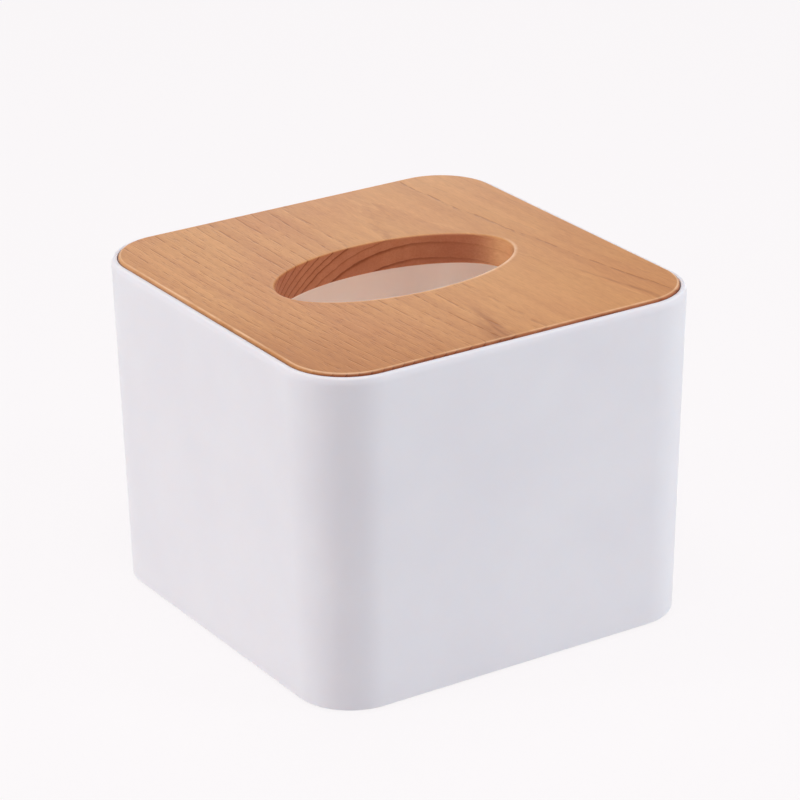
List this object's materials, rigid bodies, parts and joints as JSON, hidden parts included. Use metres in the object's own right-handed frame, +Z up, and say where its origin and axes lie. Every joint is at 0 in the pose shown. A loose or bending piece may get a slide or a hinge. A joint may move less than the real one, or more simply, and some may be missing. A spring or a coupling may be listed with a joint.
{
  "type": "tissue box cover",
  "caption": "Square tissue box cover: a moulded shell with a floor and leaning walls, a loose wooden lid with an oval slot set into its rim, and soft foot pads.",
  "frame": {"origin": "on the table under the middle of the box, at the level of the foot pads' lower faces", "axes": "+Z up, out of the open top; the slot's long axis along X; the front at -Y"},
  "size_m": [0.135, 0.135, 0.1054],
  "materials": {
    "white_plastic": "satin moulded",
    "lid_wood": "satin clear lacquer on a flat-sawn board",
    "pad_rubber": "matt"
  },
  "bodies": {
    "box": {"box_shell": "white_plastic", "foot_pad_front_left": "pad_rubber", "foot_pad_front_right": "pad_rubber", "foot_pad_back_left": "pad_rubber", "foot_pad_back_right": "pad_rubber"},
    "lid": {"wooden_lid": "lid_wood"}
  },
  "joints": [
    {"name": "lid_lift", "type": "slide", "parent": "box", "child": "lid", "axis": [0, 0, 1], "range_m": [0, 0.15]}
  ]
}
